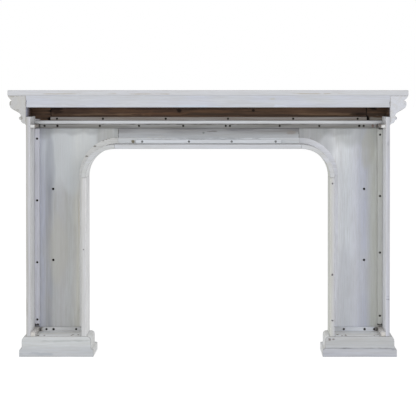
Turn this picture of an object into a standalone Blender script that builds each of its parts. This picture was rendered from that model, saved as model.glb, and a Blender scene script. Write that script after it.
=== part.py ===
"""A wooden fireplace mantelpiece: a moulded shelf on two hollow legs, around an arched opening.

Metres, +Z up, +X to the right of someone who faces the front, -Y to the front.
The origin is on the floor, under the middle of the whole piece.
Depths are measured forwards from the rear plane, which stands against the wall.
"""
import math

import bmesh
import bpy
from mathutils import Matrix, Vector

# Overall sizes
WIDTH = 1.980            # along the shelf
DEPTH = 0.333            # rear plane to the shelf's front edge
HEIGHT = 1.320           # floor to the top of the shelf
LEG_WIDTH = 0.295        # outer face to opening face
LINTEL_HEIGHT = 0.121    # opening soffit to the top of the face boards
ARCH_RADIUS = 0.142      # rounded corners of the opening
GAP = 0.0003             # clearance between pieces that touch
ARRIS = 0.0012           # eased edge of a sawn board
FINE_ARRIS = 0.0005      # eased edge of a thin strip

# Boards
SHELF_THICKNESS = 0.027
PANEL_THICKNESS = 0.020  # outer side of a leg
LINER_THICKNESS = 0.022  # jambs, arch corners and head around the opening
FACE_THICKNESS = 0.020   # front boards
DECK_THICKNESS = 0.016   # board that closes the top of the face boards
DECK_REACH = 0.040       # from the front face back to the deck's rear edge
RAIL_THICKNESS = 0.020   # rail under the shelf, at the rear plane
RAIL_HEIGHT = 0.058
FLOOR_THICKNESS = 0.018  # board inside each foot
PANEL_RISE = 0.022       # outer panels stand up past the deck

# Crown moulding, from the shelf down; OUT values stand off the leg's face
CROWN_OUT = 0.091
CROWN_SET_BACK = 0.001   # under the shelf's edge
BED_HEIGHT = 0.024
TORUS_NECK_OUT = 0.069
TORUS_OUT = 0.082
TORUS_RISE = 0.0175      # from the torus's widest line to its neck
CYMA_HEIGHT = 0.043
CYMA_FOOT_OUT = 0.027
BEAD_NECK_HEIGHT = 0.005
BEAD_RADIUS = 0.010
BEAD_OUT = 0.035
FOOT_ROUND_HEIGHT = 0.018
FOOT_ROUND_OUT = 0.025
FOOT_LIP_HEIGHT = 0.005
FOOT_LIP_OUT = 0.003
CROWN_LAP = 0.002        # how far the crown hangs over the face boards
BACKING_THICKNESS = 0.012
BACKING_SEAM = 0.800     # centre line to the joints between the backing boards

# Base moulding, from the floor up
PLINTH_OUT = 0.036
PLINTH_HEIGHT = 0.032
OGEE_HEIGHT = 0.011
UPPER_OUT = 0.0235
UPPER_HEIGHT = 0.036
CAP_ROUND_HEIGHT = 0.022
CAP_EDGE = 0.002
BASE_REAR_THICKNESS = 0.020

# Strips inside
BATTEN_THICKNESS = 0.020
TOP_BATTEN_HEIGHT = 0.021
FOOT_BATTEN_HEIGHT = 0.020
LINTEL_BATTEN_HEIGHT = 0.018
LINTEL_BATTEN_LENGTH = 0.734
DECK_CLEAT_HEIGHT = 0.018
DECK_CLEAT_THICKNESS = 0.020
SIDE_CLEAT_WIDTH = 0.023
TOP_SIDE_CLEAT_HEIGHT = 0.017
FOOT_SIDE_CLEAT_HEIGHT = 0.022
UPRIGHT_WIDTH = 0.025
UPRIGHT_HEAD_SPACE = 0.003   # below the top batten
UPRIGHT_FOOT_SPACE = 0.009   # above the foot cleat
BATTEN_END_SPACE = 0.006     # between a batten's end and a side cleat
BAND_WIDTH = 0.028           # thin band that covers the joint behind the liner
BAND_THICKNESS = 0.004
SEAM_OVERRUN = 0.004         # front panels run past the arch corner to the lintel

# Front ornament
PILASTER_WIDTH = 0.188
PILASTER_INSET = 0.025       # from the leg's outer face
PILASTER_THICKNESS = 0.012
PILASTER_FOOT_SPACE = 0.030
PILASTER_HEAD_SPACE = 0.030
FRIEZE_REVEAL = 0.050        # between the frieze panel and a pilaster
FRIEZE_MARGIN = 0.022        # above the arch head and below the crown
FRIEZE_THICKNESS = 0.010
ORNAMENT_CHAMFER = 0.005

ARC_STEPS = 14               # segments in a quarter of an arch corner
MOULDING_STEPS = 6           # segments in a quarter round of a moulding
SHARP_TURN = math.radians(50)
SMOOTH_TURN = math.radians(32)

# Positions that follow from the sizes
REAR_Y = DEPTH / 2
BODY_DEPTH = DEPTH - CROWN_OUT
FACE_BACK = BODY_DEPTH - FACE_THICKNESS
BATTEN_FACE = FACE_BACK - BATTEN_THICKNESS
LEG_OUTER = WIDTH / 2 - CROWN_OUT
LEG_INNER = LEG_OUTER - LEG_WIDTH
PANEL_INNER = LEG_OUTER - PANEL_THICKNESS
LINER_BACK = LEG_INNER + LINER_THICKNESS
SHELF_UNDER = HEIGHT - SHELF_THICKNESS
TORUS_END = math.radians(-45)
TORUS_HEIGHT = TORUS_RISE * (1 - math.sin(TORUS_END))
CROWN_HEIGHT = (BED_HEIGHT + TORUS_HEIGHT + CYMA_HEIGHT + BEAD_NECK_HEIGHT
                + 2 * BEAD_RADIUS + FOOT_ROUND_HEIGHT + FOOT_LIP_HEIGHT)
CROWN_FOOT = SHELF_UNDER - CROWN_HEIGHT
BODY_TOP = CROWN_FOOT + CROWN_LAP
DECK_TOP = BODY_TOP + DECK_THICKNESS
SOFFIT = BODY_TOP - LINTEL_HEIGHT
SPRING = SOFFIT - ARCH_RADIUS
ARCH_CENTRE_X = LEG_INNER - ARCH_RADIUS
LINER_RADIUS = ARCH_RADIUS + LINER_THICKNESS
HEAD_TOP = SOFFIT + LINER_THICKNESS
SEAM_X = ARCH_CENTRE_X - SEAM_OVERRUN
BASE_HEIGHT = PLINTH_HEIGHT + OGEE_HEIGHT + UPPER_HEIGHT + CAP_ROUND_HEIGHT
FOOT_BATTEN_TOP = BASE_HEIGHT + GAP + FOOT_BATTEN_HEIGHT
CLEAT_INNER = PANEL_INNER - GAP - SIDE_CLEAT_WIDTH
BATTEN_END = CLEAT_INNER - BATTEN_END_SPACE
PILASTER_OUTER = LEG_OUTER - PILASTER_INSET
PILASTER_INNER = PILASTER_OUTER - PILASTER_WIDTH
SIDES = (("left", -1), ("right", 1))

for old in list(bpy.data.objects):
    bpy.data.objects.remove(old)
mantel = bpy.data.collections.new("fireplace_mantelpiece")
bpy.context.scene.collection.children.link(mantel)


def paint(name, colour, roughness):
    material = bpy.data.materials.new(name)
    material.use_nodes = True
    shader = material.node_tree.nodes["Principled BSDF"]
    shader.inputs["Base Color"].default_value = (*colour, 1)
    shader.inputs["Roughness"].default_value = roughness
    shader.inputs["Metallic"].default_value = 0
    material.diffuse_color = (*colour, 1)
    return material


WHITEWASH = ("whitewashed wood", (0.58, 0.60, 0.62), 0.70)
GREY_WOOD = ("grey washed wood", (0.25, 0.25, 0.25), 0.78)
BARE_WOOD = ("bare brown wood", (0.052, 0.033, 0.023), 0.80)


def add_object(name, mesh, finish):
    """Put a mesh in the collection as one piece, with a material of its own."""
    piece = bpy.data.objects.new(name, mesh)
    mantel.objects.link(piece)
    colour_name, colour, roughness = finish
    mesh.materials.clear()
    mesh.materials.append(paint(f"{colour_name} {name}", colour, roughness))
    return piece


def ease_edges(piece, width):
    """Take the outward corners off a board with one small chamfer."""
    shape = bmesh.new()
    shape.from_mesh(piece.data)
    weight = shape.edges.layers.float.new("bevel_weight_edge")
    for edge in shape.edges:
        turn = edge.calc_face_angle_signed(0)
        edge[weight] = 1.0 if turn > SHARP_TURN else 0.0
    shape.to_mesh(piece.data)
    shape.free()
    bevel = piece.modifiers.new("eased edges", "BEVEL")
    bevel.width = width
    bevel.segments = 1
    bevel.limit_method = "WEIGHT"


def board(name, across, depths, heights, finish, ease=ARRIS):
    """A sawn board: its extent in X, in depth from the rear plane, and in Z."""
    low = Vector((min(across), REAR_Y - max(depths), min(heights)))
    high = Vector((max(across), REAR_Y - min(depths), max(heights)))
    mesh = bpy.data.meshes.new(name)
    shape = bmesh.new()
    bmesh.ops.create_cube(shape, size=1)
    bmesh.ops.scale(shape, vec=high - low, verts=shape.verts)
    shape.to_mesh(mesh)
    shape.free()
    piece = add_object(name, mesh, finish)
    piece.location = (low + high) / 2
    ease_edges(piece, ease)
    return piece


def sawn_outline(name, outline, thickness, placement, finish):
    """A flat outline cut from a board: local XY is the outline, local Z the thickness."""
    curve = bpy.data.curves.new(name, "CURVE")
    curve.dimensions = "2D"
    curve.fill_mode = "BOTH"
    curve.extrude = thickness / 2
    spline = curve.splines.new("POLY")
    spline.points.add(len(outline) - 1)
    for point, (u, v) in zip(spline.points, outline):
        point.co = (u, v, 0, 1)
    spline.use_cyclic_u = True
    drawn = bpy.data.objects.new(name + " outline", curve)
    mantel.objects.link(drawn)
    drawn.matrix_world = placement
    evaluated = drawn.evaluated_get(bpy.context.evaluated_depsgraph_get())
    mesh = bpy.data.meshes.new_from_object(evaluated)
    shape = bmesh.new()
    shape.from_mesh(mesh)
    bmesh.ops.remove_doubles(shape, verts=shape.verts, dist=0.00001)
    bmesh.ops.recalc_face_normals(shape, faces=shape.faces)
    shape.to_mesh(mesh)
    shape.free()
    bpy.data.objects.remove(drawn)
    mesh.name = name
    mesh.shade_smooth()
    mesh.set_sharp_from_angle(angle=SMOOTH_TURN)
    piece = add_object(name, mesh, finish)
    piece.matrix_world = placement
    return piece


def mitre(piece, corner, direction):
    """Cut a moulding at 45 degrees and keep the side that the direction points away from."""
    shape = bmesh.new()
    shape.from_mesh(piece.data)
    local = piece.matrix_world.inverted()
    normal = (local.to_3x3() @ Vector(direction)).normalized()
    point = local @ Vector(corner) - normal * GAP / 2
    everything = shape.verts[:] + shape.edges[:] + shape.faces[:]
    cut = bmesh.ops.bisect_plane(shape, geom=everything, plane_co=point, plane_no=normal,
                                 clear_outer=True)
    rim = [part for part in cut["geom_cut"] if isinstance(part, bmesh.types.BMEdge)]
    bmesh.ops.edgeloop_fill(shape, edges=rim)
    bmesh.ops.recalc_face_normals(shape, faces=shape.faces)
    shape.to_mesh(piece.data)
    shape.free()
    piece.data.shade_smooth()
    piece.data.set_sharp_from_angle(angle=SMOOTH_TURN)


def facing_rear(x, depth):
    """Local X to the world's X, local Y up, at a place in X and in depth."""
    rotation = Matrix.Rotation(math.radians(90), 4, "X")
    return Matrix.Translation((x, REAR_Y - depth, 0)) @ rotation


def facing_side(x, depth):
    """Local X to the front, local Y up, at a place in X and in depth."""
    return Matrix(((0, 0, -1, x), (-1, 0, 0, REAR_Y - depth), (0, 1, 0, 0), (0, 0, 0, 1)))


def arc(centre, radii, start, end, steps=MOULDING_STEPS):
    """Points along part of an ellipse, between two angles in degrees."""
    angles = [math.radians(start + (end - start) * i / steps) for i in range(steps + 1)]
    return [(centre[0] + radii[0] * math.cos(a), centre[1] + radii[1] * math.sin(a)) for a in angles]


def cyma(top, foot):
    """Points down a moulding's S-shaped curve, upright at both of its ends."""
    points = []
    for i in range(1, 2 * MOULDING_STEPS + 1):
        share = i / (2 * MOULDING_STEPS)
        inwards = (1 - math.cos(math.pi * share)) / 2
        points.append((top[0] + (foot[0] - top[0]) * inwards, top[1] + (foot[1] - top[1]) * share))
    return points


def crown_face():
    """The crown's moulded face as (stand-off, height) from under the shelf to its foot."""
    top = SHELF_UNDER - GAP
    bed_foot = SHELF_UNDER - BED_HEIGHT
    torus_middle = bed_foot - TORUS_RISE
    torus_foot = bed_foot - TORUS_HEIGHT
    cyma_foot = torus_foot - CYMA_HEIGHT
    bead_top = cyma_foot - BEAD_NECK_HEIGHT
    bead_foot = bead_top - 2 * BEAD_RADIUS
    lip_top = bead_foot - FOOT_ROUND_HEIGHT
    torus_swell = TORUS_OUT - TORUS_NECK_OUT
    bed_start, bed_end = -19, -66
    bed_radii = ((CROWN_OUT - CROWN_SET_BACK - TORUS_NECK_OUT)
                 / (math.cos(math.radians(bed_start)) - math.cos(math.radians(bed_end))),
                 (top - bed_foot) / (math.sin(math.radians(bed_start)) - math.sin(math.radians(bed_end))))
    bed_centre = (TORUS_NECK_OUT - bed_radii[0] * math.cos(math.radians(bed_end)),
                  bed_foot - bed_radii[1] * math.sin(math.radians(bed_end)))
    points = arc(bed_centre, bed_radii, bed_start, bed_end)
    points += arc((TORUS_NECK_OUT, torus_middle), (torus_swell, TORUS_RISE), 90,
                  math.degrees(TORUS_END), 2 * MOULDING_STEPS)[1:]
    points += cyma(points[-1], (CYMA_FOOT_OUT, cyma_foot))
    points += arc((BEAD_OUT - BEAD_RADIUS, bead_top - BEAD_RADIUS), (BEAD_RADIUS, BEAD_RADIUS), 90, -90,
                  2 * MOULDING_STEPS)
    points += arc((FOOT_LIP_OUT, bead_foot), (FOOT_ROUND_OUT - FOOT_LIP_OUT, FOOT_ROUND_HEIGHT), 0, -90)[1:]
    points.append((FOOT_LIP_OUT, lip_top - FOOT_LIP_HEIGHT))
    return points


def base_face():
    """The base's moulded face as (stand-off, height) from the floor to its top."""
    ogee_foot = PLINTH_HEIGHT
    ogee_top = ogee_foot + OGEE_HEIGHT
    upper_top = ogee_top + UPPER_HEIGHT
    middle = (PLINTH_OUT + UPPER_OUT) / 2
    swell = PLINTH_OUT - middle
    points = [(PLINTH_OUT, 0)]
    points += arc((middle, ogee_foot), (swell, OGEE_HEIGHT / 2), 0, 90)
    points += arc((middle, ogee_top), (middle - UPPER_OUT, OGEE_HEIGHT / 2), 270, 180)[1:]
    points += arc((CAP_EDGE, upper_top), (UPPER_OUT - CAP_EDGE, CAP_ROUND_HEIGHT), 0, 90)
    return points


def make_shelf():
    half = WIDTH / 2
    board("shelf_board", (-half, half), (0, DEPTH), (SHELF_UNDER, HEIGHT), WHITEWASH, 0.0025)
    board("rear_rail", (-LEG_OUTER, LEG_OUTER), (0, RAIL_THICKNESS),
          (SHELF_UNDER - GAP - RAIL_HEIGHT, SHELF_UNDER - GAP), WHITEWASH)


def make_crown():
    face = crown_face()
    backing_front = GAP + BACKING_THICKNESS
    rebate = backing_front + GAP
    foot = face[-1][1]
    front_outline = face + [(GAP, foot), (GAP, DECK_TOP), (rebate, DECK_TOP), (rebate, face[0][1])]
    front = sawn_outline("crown_front", front_outline, WIDTH, facing_side(0, BODY_DEPTH), WHITEWASH)
    return_outline = face + [(GAP, foot), (GAP, face[0][1])]
    for side, sign in SIDES:
        corner = (sign * LEG_OUTER, REAR_Y - BODY_DEPTH, 0)
        mitre(front, corner, (sign, 1, 0))
        mirrored = [(sign * u, v) for u, v in return_outline]
        place = facing_rear(sign * LEG_OUTER, DEPTH / 2)
        piece = sawn_outline(f"crown_return_{side}", mirrored, DEPTH, place, WHITEWASH)
        mitre(piece, corner, (-sign, -1, 0))
    seam = BACKING_SEAM - GAP / 2
    spans = (("left", -LEG_OUTER, -seam - GAP), ("centre", -seam, seam), ("right", seam + GAP, LEG_OUTER))
    for where, start, end in spans:
        board(f"crown_backing_{where}", (start, end), (BODY_DEPTH + GAP, BODY_DEPTH + backing_front),
              (DECK_TOP + GAP, SHELF_UNDER - GAP), BARE_WOOD, FINE_ARRIS)


def make_deck():
    reach = PANEL_INNER - GAP
    board("deck_board", (-reach, reach), (BODY_DEPTH - DECK_REACH, BODY_DEPTH),
          (BODY_TOP + GAP, DECK_TOP), WHITEWASH)
    cleat_foot = DECK_TOP + GAP
    board("deck_cleat", (-BACKING_SEAM, BACKING_SEAM), (BODY_DEPTH - DECK_CLEAT_THICKNESS, BODY_DEPTH),
          (cleat_foot, cleat_foot + DECK_CLEAT_HEIGHT), GREY_WOOD)
    board("top_batten", (-BATTEN_END, BATTEN_END), (BATTEN_FACE, FACE_BACK - GAP),
          (BODY_TOP - TOP_BATTEN_HEIGHT, BODY_TOP), GREY_WOOD)


def notched_panel(name, x, thickness, top):
    """A full-depth upright board, notched at its rear foot around the rear base board."""
    notch = BASE_REAR_THICKNESS + GAP
    ledge = BASE_HEIGHT + GAP
    outline = [(notch, 0), (BODY_DEPTH, 0), (BODY_DEPTH, top), (0, top), (0, ledge), (notch, ledge)]
    piece = sawn_outline(name, outline, thickness, facing_side(x, 0), WHITEWASH)
    ease_edges(piece, ARRIS)


def make_leg_panels(side, sign):
    notched_panel(f"outer_panel_{side}", sign * (LEG_OUTER - PANEL_THICKNESS / 2), PANEL_THICKNESS,
                  DECK_TOP + PANEL_RISE)
    notched_panel(f"jamb_panel_{side}", sign * (LEG_INNER + LINER_THICKNESS / 2), LINER_THICKNESS,
                  SPRING - GAP)


def arch_quarter(radius):
    """The arch corner's line from the spring to the head, for the +X side."""
    return arc((ARCH_CENTRE_X, SPRING), (radius, radius), 0, 90, ARC_STEPS)


def make_front_panel(side, sign):
    """Face board of a leg, cut round the liner, up to its seam with the lintel board."""
    arch = arch_quarter(LINER_RADIUS + GAP)
    inner = LINER_BACK + GAP
    outer = PANEL_INNER - GAP
    seam = SEAM_X + GAP / 2
    outline = [(inner, 0)] + arch + [(seam, HEAD_TOP + GAP), (seam, BODY_TOP), (outer, BODY_TOP), (outer, 0)]
    mirrored = [(sign * u, v) for u, v in outline]
    place = facing_rear(0, (FACE_BACK + BODY_DEPTH) / 2)
    piece = sawn_outline(f"front_panel_{side}", mirrored, FACE_THICKNESS, place, WHITEWASH)
    ease_edges(piece, FINE_ARRIS)


def make_liner():
    """Curved corners and the straight head that carry the liner over the opening."""
    middle = facing_rear(0, BODY_DEPTH / 2)
    for side, sign in SIDES:
        ring = arch_quarter(ARCH_RADIUS) + arch_quarter(LINER_RADIUS)[::-1]
        mirrored = [(sign * u, v) for u, v in ring]
        piece = sawn_outline(f"arch_corner_{side}", mirrored, BODY_DEPTH, middle, WHITEWASH)
        ease_edges(piece, ARRIS)
    end = ARCH_CENTRE_X - GAP
    board("arch_head", (-end, end), (0, BODY_DEPTH), (SOFFIT, HEAD_TOP), WHITEWASH)


def make_lintel():
    seam = SEAM_X - GAP / 2
    board("lintel_board", (-seam, seam), (FACE_BACK, BODY_DEPTH), (HEAD_TOP + GAP, BODY_TOP),
          WHITEWASH, FINE_ARRIS)
    half = LINTEL_BATTEN_LENGTH / 2
    batten_foot = HEAD_TOP + GAP
    board("lintel_batten", (-half, half), (BATTEN_FACE, FACE_BACK - 2 * GAP - BAND_THICKNESS),
          (batten_foot, batten_foot + LINTEL_BATTEN_HEIGHT), WHITEWASH)


def make_bands():
    """Thin bands glued over the joint between the liner and the face boards."""
    near = FACE_BACK - GAP - BAND_THICKNESS
    far = FACE_BACK - GAP
    inner_radius = LINER_RADIUS + GAP
    outer_radius = inner_radius + BAND_WIDTH
    seam = SEAM_X + GAP / 2
    for side, sign in SIDES:
        across = sorted((sign * (LINER_BACK + GAP), sign * (LINER_BACK + GAP + BAND_WIDTH)))
        board(f"jamb_band_{side}", across, (near, far), (FOOT_BATTEN_TOP + GAP, SPRING - GAP),
              WHITEWASH, FINE_ARRIS)
        ring = arch_quarter(inner_radius) + [(seam, SPRING + inner_radius), (seam, SPRING + outer_radius)]
        ring += arch_quarter(outer_radius)[::-1]
        mirrored = [(sign * u, v) for u, v in ring]
        sawn_outline(f"corner_band_{side}", mirrored, BAND_THICKNESS, facing_rear(0, (near + far) / 2),
                     WHITEWASH)
    board("head_band", (GAP - seam, seam - GAP), (near, far),
          (SPRING + inner_radius, SPRING + outer_radius), WHITEWASH, FINE_ARRIS)


def make_leg_strips(side, sign):
    """Battens and cleats screwed into the inside corners of a leg."""
    wall = PANEL_INNER - GAP
    batten_depths = (BATTEN_FACE, FACE_BACK - GAP)
    floor_face = BASE_HEIGHT + GAP
    upright_foot = floor_face + FOOT_SIDE_CLEAT_HEIGHT + UPRIGHT_FOOT_SPACE
    upright_head = BODY_TOP - TOP_BATTEN_HEIGHT - UPRIGHT_HEAD_SPACE
    board(f"upright_cleat_{side}", (sign * (wall - UPRIGHT_WIDTH), sign * wall), batten_depths,
          (upright_foot, upright_head), WHITEWASH)
    board(f"foot_batten_{side}", (sign * (LINER_BACK + GAP), sign * BATTEN_END), batten_depths,
          (floor_face, FOOT_BATTEN_TOP), WHITEWASH)
    cleat = (sign * CLEAT_INNER, sign * wall)
    board(f"top_side_cleat_{side}", cleat, (0, FACE_BACK - GAP),
          (BODY_TOP - TOP_SIDE_CLEAT_HEIGHT, BODY_TOP), WHITEWASH)
    board(f"foot_side_cleat_{side}", cleat, (0, FACE_BACK - GAP),
          (floor_face, floor_face + FOOT_SIDE_CLEAT_HEIGHT), WHITEWASH)


def make_foot(side, sign):
    """Floor board, rear board with moulded ends, and three mitred mouldings."""
    board(f"floor_board_{side}", (sign * (LINER_BACK + GAP), sign * (PANEL_INNER - GAP)),
          (BASE_REAR_THICKNESS + GAP, FACE_BACK - GAP), (BASE_HEIGHT - FLOOR_THICKNESS, BASE_HEIGHT),
          WHITEWASH)
    face = base_face()
    outer_end = [(sign * (LEG_OUTER + u), v) for u, v in face]
    inner_end = [(sign * (LEG_INNER - u), v) for u, v in face]
    sawn_outline(f"base_rear_{side}", outer_end + inner_end[::-1], BASE_REAR_THICKNESS,
                 facing_rear(0, BASE_REAR_THICKNESS / 2), WHITEWASH)

    moulding = face + [(GAP, BASE_HEIGHT), (GAP, 0)]
    run = BODY_DEPTH + PLINTH_OUT - BASE_REAR_THICKNESS - GAP
    middle_depth = BASE_REAR_THICKNESS + GAP + run / 2
    leg_middle = sign * (LEG_OUTER + LEG_INNER) / 2
    front = sawn_outline(f"base_front_{side}", moulding, LEG_WIDTH + 2 * PLINTH_OUT,
                         facing_side(leg_middle, BODY_DEPTH), WHITEWASH)
    for which, x, outward in (("outer", LEG_OUTER, sign), ("inner", LEG_INNER, -sign)):
        corner = (sign * x, REAR_Y - BODY_DEPTH, 0)
        mirrored = [(outward * u, v) for u, v in moulding]
        piece = sawn_outline(f"base_{which}_{side}", mirrored, run, facing_rear(sign * x, middle_depth),
                             WHITEWASH)
        mitre(piece, corner, (-outward, -1, 0))
        mitre(front, corner, (outward, 1, 0))


def make_ornament():
    """Flat pilaster boards on the legs and a frieze panel between them."""
    for side, sign in SIDES:
        board(f"pilaster_{side}", (sign * PILASTER_INNER, sign * PILASTER_OUTER),
              (BODY_DEPTH + GAP, BODY_DEPTH + GAP + PILASTER_THICKNESS),
              (BASE_HEIGHT + PILASTER_FOOT_SPACE, CROWN_FOOT - PILASTER_HEAD_SPACE),
              WHITEWASH, ORNAMENT_CHAMFER)
    half = PILASTER_INNER - FRIEZE_REVEAL
    board("frieze_panel", (-half, half), (BODY_DEPTH + GAP, BODY_DEPTH + GAP + FRIEZE_THICKNESS),
          (HEAD_TOP + FRIEZE_MARGIN, CROWN_FOOT - FRIEZE_MARGIN), WHITEWASH, ORNAMENT_CHAMFER)


make_shelf()
make_crown()
make_deck()
make_liner()
make_lintel()
make_bands()
make_ornament()
for leg_side, leg_sign in SIDES:
    make_leg_panels(leg_side, leg_sign)
    make_front_panel(leg_side, leg_sign)
    make_leg_strips(leg_side, leg_sign)
    make_foot(leg_side, leg_sign)
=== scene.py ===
"""A whitewashed wooden fireplace mantelpiece, seen from behind, where it stands open to the wall.

Metres, +Z up, front towards -Y. "Left" and "right" are those of someone who faces the front.
Each board replaces its solid in the loaded frame and keeps that solid's place, so every
position comes from a solid's own corners or from a named distance.
"""
import math
import random

import bmesh
import bpy
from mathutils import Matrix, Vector, noise


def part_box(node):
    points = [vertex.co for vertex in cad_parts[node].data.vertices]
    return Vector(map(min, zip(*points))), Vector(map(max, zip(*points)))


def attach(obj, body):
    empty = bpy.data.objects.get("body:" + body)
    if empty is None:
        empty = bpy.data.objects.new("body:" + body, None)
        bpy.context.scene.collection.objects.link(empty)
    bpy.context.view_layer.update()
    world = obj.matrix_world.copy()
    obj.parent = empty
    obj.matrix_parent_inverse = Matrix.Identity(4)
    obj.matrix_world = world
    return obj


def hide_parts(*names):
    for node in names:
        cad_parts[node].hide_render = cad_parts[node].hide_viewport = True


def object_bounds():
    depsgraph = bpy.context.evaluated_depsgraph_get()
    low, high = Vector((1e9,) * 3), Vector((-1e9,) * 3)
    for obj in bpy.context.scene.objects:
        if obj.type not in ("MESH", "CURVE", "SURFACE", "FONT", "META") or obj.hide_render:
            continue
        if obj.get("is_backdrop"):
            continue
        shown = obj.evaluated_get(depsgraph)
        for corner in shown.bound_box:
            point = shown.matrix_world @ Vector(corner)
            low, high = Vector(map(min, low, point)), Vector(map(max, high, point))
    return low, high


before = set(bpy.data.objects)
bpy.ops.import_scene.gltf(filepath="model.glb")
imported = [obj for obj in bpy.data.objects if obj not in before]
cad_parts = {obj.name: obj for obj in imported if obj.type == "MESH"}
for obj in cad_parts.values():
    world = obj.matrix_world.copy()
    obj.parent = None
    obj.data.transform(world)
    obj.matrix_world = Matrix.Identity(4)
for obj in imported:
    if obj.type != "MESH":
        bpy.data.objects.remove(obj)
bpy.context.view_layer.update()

# Outer sides of the legs. Each is one full-depth softwood board 20 mm thick, planed by hand and
# notched round the foot's rear board, to which it is glued. It is brushed with a thin cool-white
# wash; its inner face is painted near white, as painted light on a face that the lamps reach little,
# and the rear edge is knocked in a few places.
SIDES = (("left", -1), ("right", 1))
ALONG_X, ALONG_Y, ALONG_Z = 0, 1, 2
WELD = 0.00001               # vertices closer than this are one
CUT_PITCH = 0.045            # distance between the cuts that let an arris wander
FLAT_TURN = math.radians(0.5)
ARRIS_TURN = math.radians(20)
SMOOTH_TURN = math.radians(40)
# The first stop, near white, lies on the inner face: painted light.
SIDE_STAVES_AND_LIGHT = {
    "left": ((0.879, "#fafbfd"), (0.8797, "#c7c9d3"), (0.890, "#b6b8c3"), (0.899, "#b1b3bb")),
    "right": ((0.879, "#fafbfd"), (0.8797, "#c4c5cd"), (0.890, "#b6b7ba"), (0.899, "#adaca6"))}
SIDE_TINT = "#bbbcba"


def hex_linear(code):
    """Turn an sRGB hex colour into linear red, green, blue and alpha."""
    parts = [int(code[i:i + 2], 16) / 255 for i in (1, 3, 5)]
    linear = [part / 12.92 if part <= 0.04045 else ((part + 0.055) / 1.055) ** 2.4 for part in parts]
    return (*linear, 1.0)


def add_node(tree, kind, settings, inputs):
    """Add one shader node with its settings, and give each input a value or a node's output."""
    node = tree.nodes.new("ShaderNode" + kind)
    for setting, value in settings.items():
        setattr(node, setting, value)
    for socket, value in inputs.items():
        if isinstance(value, bpy.types.NodeSocket):
            tree.links.new(value, node.inputs[socket])
        else:
            node.inputs[socket].default_value = value
    return node


def grain_space(tree, name, grain, stretch):
    """Object coordinates squeezed along the grain, and shifted so that no two boards match."""
    dice = random.Random(name)
    scale = [1.0 / stretch if axis == grain else 1.0 for axis in range(3)]
    shift = [dice.uniform(-9, 9) for axis in range(3)]
    place = add_node(tree, "TexCoord", {}, {}).outputs["Object"]
    mapping = add_node(tree, "Mapping", {}, {"Vector": place, "Location": shift, "Scale": scale})
    return mapping.outputs["Vector"]


def figure(tree, space, width, low, high, share=1.0, detail=2.0):
    """A mask of grain or patches of a real width in metres, from nothing up to a share."""
    field = add_node(tree, "TexNoise", {}, {"Vector": space, "Scale": 1 / width, "Detail": detail})
    spread = add_node(tree, "MapRange", {"interpolation_type": "SMOOTHSTEP"},
                      {"Value": field.outputs["Fac"], "From Min": low, "From Max": high, "To Max": share})
    return spread.outputs["Result"]


def spot(tree, centre, radii, share, ragged):
    """A mask of one mark: an ellipsoid round a point, falling to nothing along a ragged edge."""
    place = add_node(tree, "TexCoord", {}, {}).outputs["Object"]
    scale = [1 / radius for radius in radii]
    shift = [-middle / radius for middle, radius in zip(centre, radii)]
    near = add_node(tree, "Mapping", {}, {"Vector": place, "Location": shift, "Scale": scale})
    reach = add_node(tree, "VectorMath", {"operation": "LENGTH"}, {0: near.outputs["Vector"]})
    frayed = add_node(tree, "Math", {"operation": "ADD"}, {0: reach.outputs["Value"], 1: ragged})
    fall = add_node(tree, "MapRange", {"interpolation_type": "SMOOTHSTEP"},
                    {"Value": frayed.outputs["Value"], "From Min": 1.7, "From Max": 1.0, "To Max": share})
    return fall.outputs["Result"]


def lay_coats(tree, colour, coats):
    """Lay thin coats over the wood one after another, each through its own mask."""
    for mask, shade in coats:
        coat = add_node(tree, "MixRGB", {}, {"Fac": mask, "Color1": colour, "Color2": hex_linear(shade)})
        colour = coat.outputs["Color"]
    return colour


def worn_arris(tree, radius, share, ragged):
    """A mask along arrises, found by rounding the normal, and broken up by a ragged mask."""
    rounded = add_node(tree, "Bevel", {"samples": 4}, {"Radius": radius})
    flat = add_node(tree, "NewGeometry", {}, {})
    bend = add_node(tree, "VectorMath", {"operation": "DOT_PRODUCT"},
                    {0: rounded.outputs["Normal"], 1: flat.outputs["Normal"]})
    arris = add_node(tree, "MapRange", {}, {"Value": bend.outputs["Value"], "From Min": 0.99,
                                            "From Max": 0.82, "To Max": share})
    worn = add_node(tree, "Math", {"operation": "MULTIPLY"}, {0: arris.outputs["Result"], 1: ragged})
    return worn.outputs["Value"]


PATCH_WIDTH = 0.070          # cloudy patches where the wash soaked in unevenly
BRUSH_WIDTH = 0.012          # strokes of a broad brush
EARLY_WOOD = 0.0045          # spacing of softwood year rings, drawn a little coarse so that they show
FIBRE_WIDTH = 0.0016
CLOUD_STRETCH = 3.5          # patches are this many times longer than wide, along the grain
FIBRE_STRETCH = 24
BROAD_MARK = 0.018           # marks wider than this fade out softly, smaller ones have ragged edges
RUB_REACH = 0.003            # how far from an arris the wash is rubbed
DIRT_AND_SHADE_REACH = 0.022           # how far from a corner the dirt and painted shade reach
BRUSHED_WHITE = "#dcdee4"
RING_SHADE = "#a8a299"
FIBRE_SHADE = "#938f8a"
RUBBED_WOOD = "#a2968a"
CORNER_DIRT_AND_SHADE = "#6f6a63"
FIBRE_RELIEF = 0.0007
BRUSHED_ROUGHNESS = (0.60, 0.82)


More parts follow.
